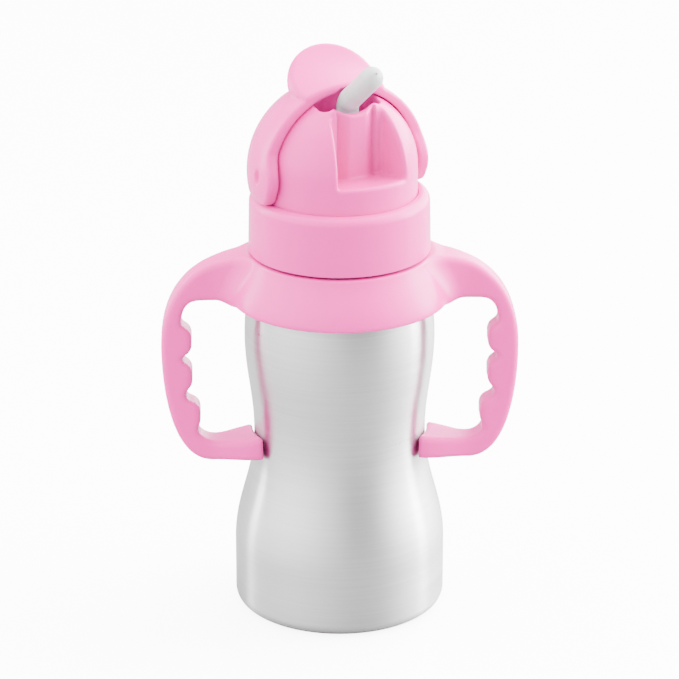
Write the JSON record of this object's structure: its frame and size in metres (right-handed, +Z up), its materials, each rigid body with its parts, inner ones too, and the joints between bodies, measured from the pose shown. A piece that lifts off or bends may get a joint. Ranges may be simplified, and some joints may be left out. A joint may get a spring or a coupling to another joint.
{
  "type": "toddler straw cup",
  "caption": "Insulated steel straw cup with a turning two-handled ring, a screw collar and a domed lid whose flip cover folds the soft straw away.",
  "frame": {"origin": "centre of the foot, on the plane the cup stands on", "axes": "+Z up along the bottle's axis, handles along X, lower handle tips and drinking side towards -Y"},
  "size_m": [0.1128, 0.0694, 0.184],
  "materials": {
    "steel": "fine horizontal brushing, satin",
    "steel_inside": "electropolished",
    "pink": "satin moulded polypropylene",
    "silicone": "translucent white, soft matte"
  },
  "bodies": {
    "bottle": {"outer_shell": "steel", "inner_liner": "steel_inside", "base_cap": "steel"},
    "handles": {"handle_ring": "pink"},
    "lid": {"dome_lid": "pink", "lid_gasket": "silicone", "vent_valve": "silicone", "straw_base": "silicone", "straw_bend": "silicone", "lower_straw": "silicone"},
    "collar": {"collar_ring": "pink"},
    "cover": {"flip_cover": "pink"},
    "straw": {"straw_tip": "silicone"}
  },
  "joints": [
    {"name": "handle_turn", "type": "hinge", "parent": "bottle", "child": "handles", "pos_m": [0, 0, 0.112], "axis": [0, 0, 1], "continuous": true},
    {"name": "lid_lift", "type": "slide", "parent": "bottle", "child": "lid", "axis": [0, 0, 1], "range_m": [0, 0.0091]},
    {"name": "collar_turn", "type": "hinge", "parent": "lid", "child": "collar", "pos_m": [0, 0, 0.129], "axis": [0, 0, 1], "range_deg": [0, 810]},
    {"name": "cover_flip", "type": "hinge", "parent": "lid", "child": "cover", "pos_m": [0, 0, 0.147], "axis": [0.8988, 0.4384, 0], "range_deg": [0, 90]},
    {"name": "straw_fold", "type": "hinge", "parent": "lid", "child": "straw", "pos_m": [0.00482, -0.00989, 0.1673], "axis": [0.8988, 0.4384, 0], "range_deg": [0, 127.5], "deforming": ["straw_tip", "straw_bend"]}
  ],
  "couplings": [
    {"joint": "lid_lift", "follows": "collar_turn", "m_per_rad": 0.00063662},
    {"joint": "straw_fold", "follows": "cover_flip", "ratio": 1.4111}
  ]
}
